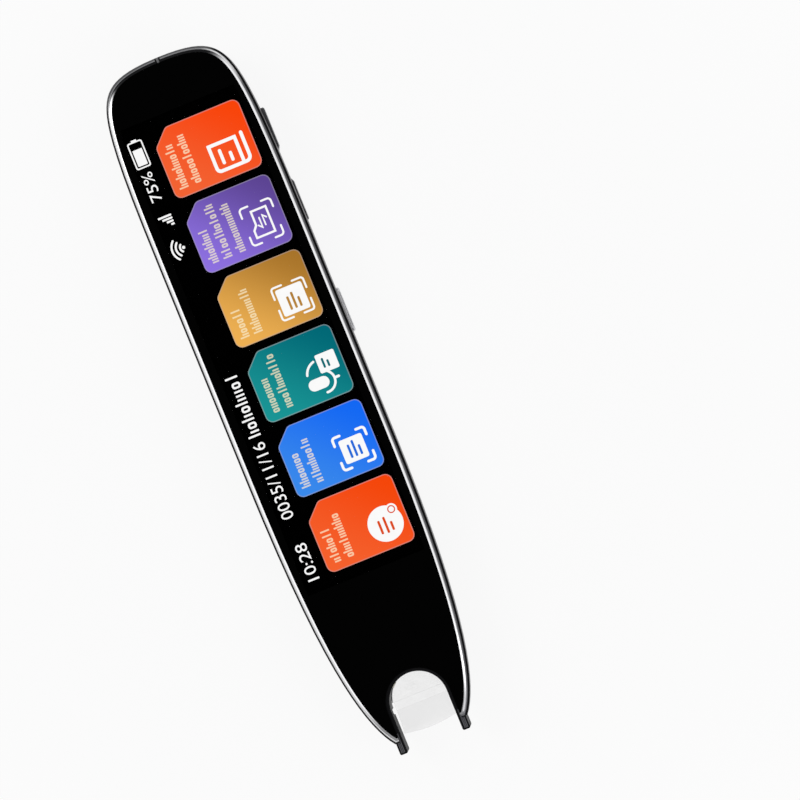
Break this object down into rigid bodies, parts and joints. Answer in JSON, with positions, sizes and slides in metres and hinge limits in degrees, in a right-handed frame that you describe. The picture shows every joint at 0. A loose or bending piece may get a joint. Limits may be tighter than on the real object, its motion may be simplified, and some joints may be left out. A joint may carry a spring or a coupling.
{
  "type": "scanning translator pen",
  "caption": "Slim handheld translator with a full-length touch screen, side keys and a scanning notch between two sprung feet.",
  "frame": {"origin": "on the ground under the middle of the pen, which lies on the flat land of its back: half way from the feet to the crown, in the middle of the width without its keys", "axes": "+X to the side with the keys, +Y from the feet to the crown, +Z out of the screen"},
  "size_m": [0.0335, 0.1564, 0.0125],
  "materials": {
    "cover_glass": "gloss, black printed border",
    "bright_trim": "polished",
    "housing": "satin gunmetal",
    "cover": "satin gunmetal metallic paint",
    "split": "matt",
    "display": "black",
    "chassis": "pressed sheet",
    "inlay": "fine grain, matt",
    "grille": "satin",
    "foam": "foam",
    "dark_plastic": "satin",
    "cone": "film",
    "steel": "bright",
    "circuit": "solder resist",
    "chip": "moulded",
    "cell": "foil pouch",
    "tape": "adhesive",
    "flex": "film",
    "key": "satin silver",
    "window": "frosted clear",
    "lens": "coated",
    "lamp": "white",
    "head_cover": "satin dark grey",
    "fork": "hard, ribbed"
  },
  "bodies": {
    "body": {"cover_glass": "cover_glass", "bezel_ring": "bright_trim", "front_frame": "housing", "antenna_split": "split", "display_panel": "display", "mid_frame": "chassis", "rear_cover": "cover", "speaker_surround": "cover", "surround_inlay": "inlay", "speaker_plate": "grille", "speaker_gasket": "foam", "speaker_frame": "dark_plastic", "speaker_cone": "cone", "speaker_magnet": "steel", "main_board": "circuit", "board_screws": "steel", "board_shield": "steel", "board_chips": "chip", "radio_module": "steel", "battery_tape": "tape", "battery": "cell", "battery_lead": "flex", "display_flex": "flex", "usb_shell": "steel", "usb_tongue": "dark_plastic", "key_divider": "split", "key_flex": "flex", "key_domes": "steel", "microphone": "steel", "antenna": "flex", "fork_spring": "steel", "scan_chassis": "dark_plastic", "head_screws": "steel", "camera_barrel": "dark_plastic", "camera_lens": "lens", "camera_board": "circuit", "scan_lamps": "lamp", "trigger_switch": "chip", "scan_head_cover": "head_cover", "scan_window": "window"},
    "trigger": {"trigger_fork": "fork"},
    "volume_up": {"volume_up_key": "key"},
    "volume_down": {"volume_down_key": "key"},
    "function": {"function_key": "key"}
  },
  "joints": [
    {"name": "trigger_slide", "type": "slide", "parent": "body", "child": "trigger", "axis": [0, 1, 0], "range_m": [0, 0.001], "stiffness_N_per_m": 800, "deforming": ["fork_spring"]},
    {"name": "volume_up_press", "type": "slide", "parent": "body", "child": "volume_up", "axis": [-1, 0, 0], "range_m": [0, 0.0004], "stiffness_N_per_m": 4000},
    {"name": "volume_down_press", "type": "slide", "parent": "body", "child": "volume_down", "axis": [-1, 0, 0], "range_m": [0, 0.0004], "stiffness_N_per_m": 4000},
    {"name": "function_press", "type": "slide", "parent": "body", "child": "function", "axis": [-1, 0, 0], "range_m": [0, 0.0004], "stiffness_N_per_m": 4000}
  ]
}
